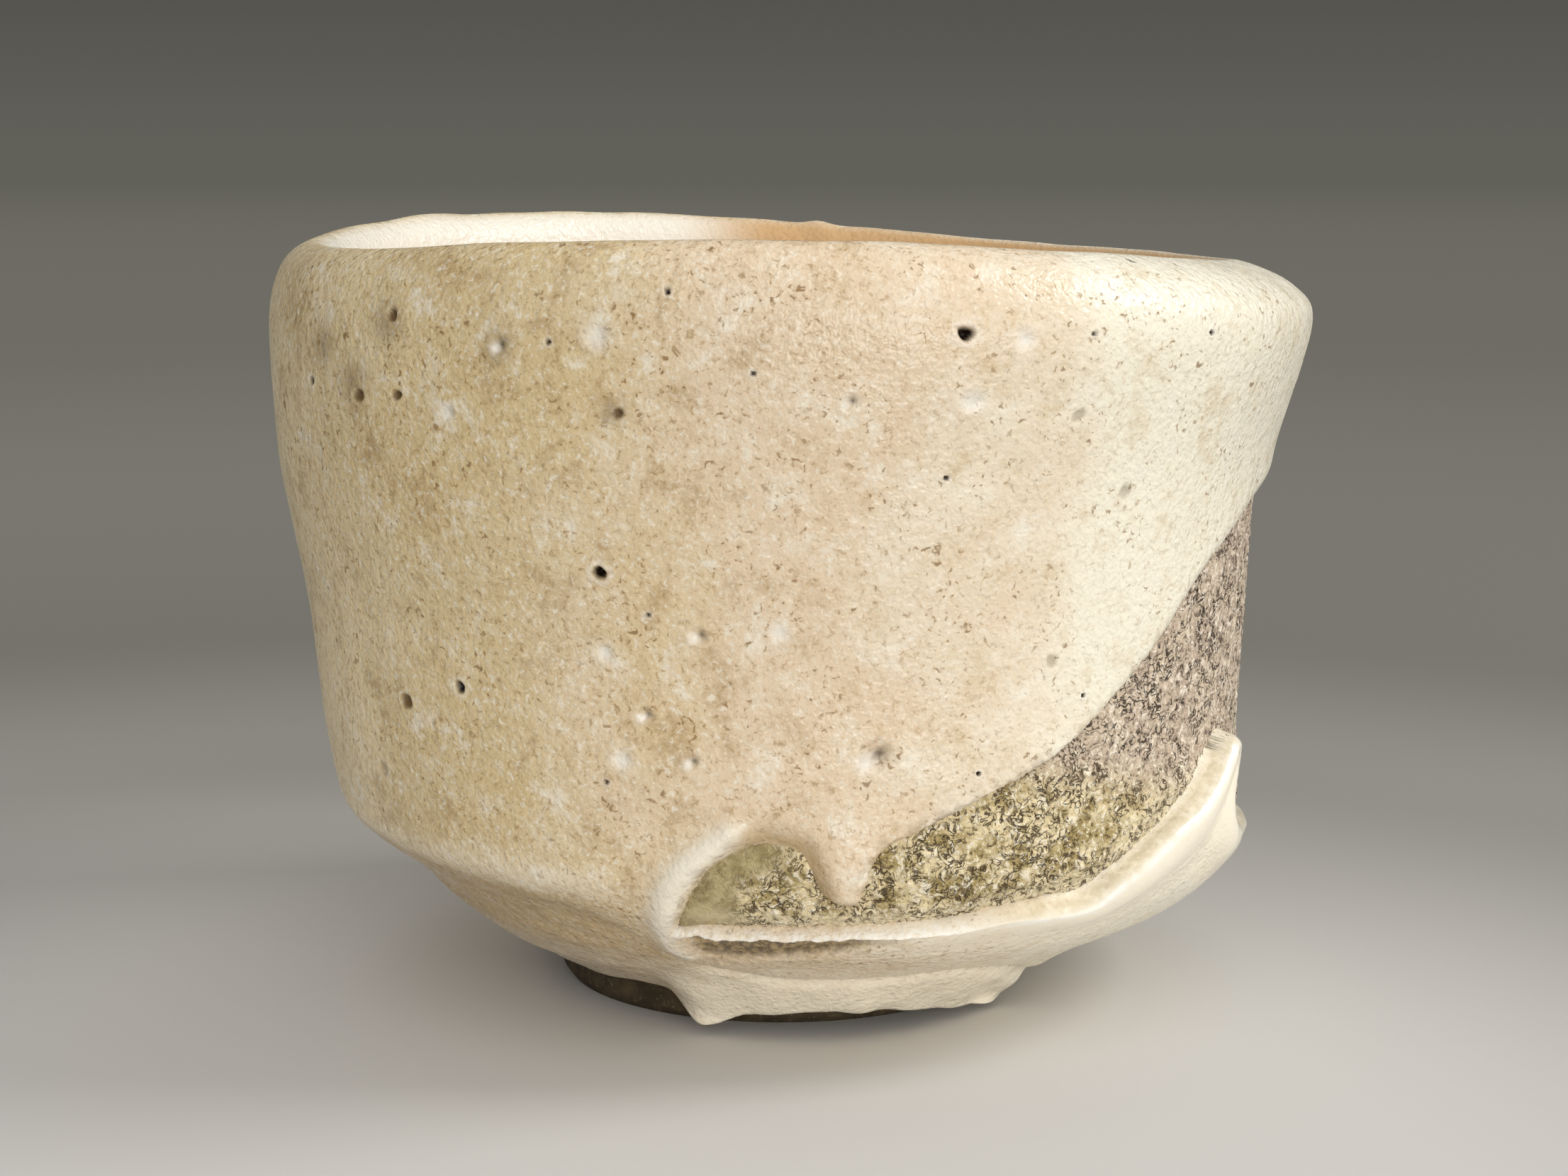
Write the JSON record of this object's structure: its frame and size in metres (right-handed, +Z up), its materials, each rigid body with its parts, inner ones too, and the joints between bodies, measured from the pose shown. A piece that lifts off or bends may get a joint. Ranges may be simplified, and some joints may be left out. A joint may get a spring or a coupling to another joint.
{
  "type": "tea bowl",
  "caption": "Hand-formed tea bowl of thick clay on a foot ring, in milky glaze inside and out, with a bare clay window edged by a thick roll of glaze.",
  "frame": {"origin": "on the surface the bowl stands on, at the centre of the bowl's box seen from above", "axes": "+Z up, -Y towards the front that the picture shows, +X to its right"},
  "size_m": [0.1178, 0.1178, 0.0861],
  "materials": {
    "bare_clay": "rough bare fired clay, purple brown, coarse flaked grain",
    "foot_clay": "bare trimmed clay, brown olive, matt",
    "inner_glaze": "glossy pinkish white glaze",
    "outer_glaze": "milky beige glaze, satin, mottled ochre, with pinholes",
    "thick_glaze": "thick cream glaze, glossy",
    "ash": "fused ash, olive, granular"
  },
  "bodies": {
    "root": {"clay_body": "bare_clay", "foot_ring": "foot_clay", "inner_glaze": "inner_glaze", "outer_glaze": "outer_glaze", "glaze_roll": "thick_glaze", "glaze_lobe": "thick_glaze", "glaze_tongue": "thick_glaze", "ash_crust": "ash", "drip_left": "thick_glaze", "drip_right": "thick_glaze"}
  },
  "joints": []
}
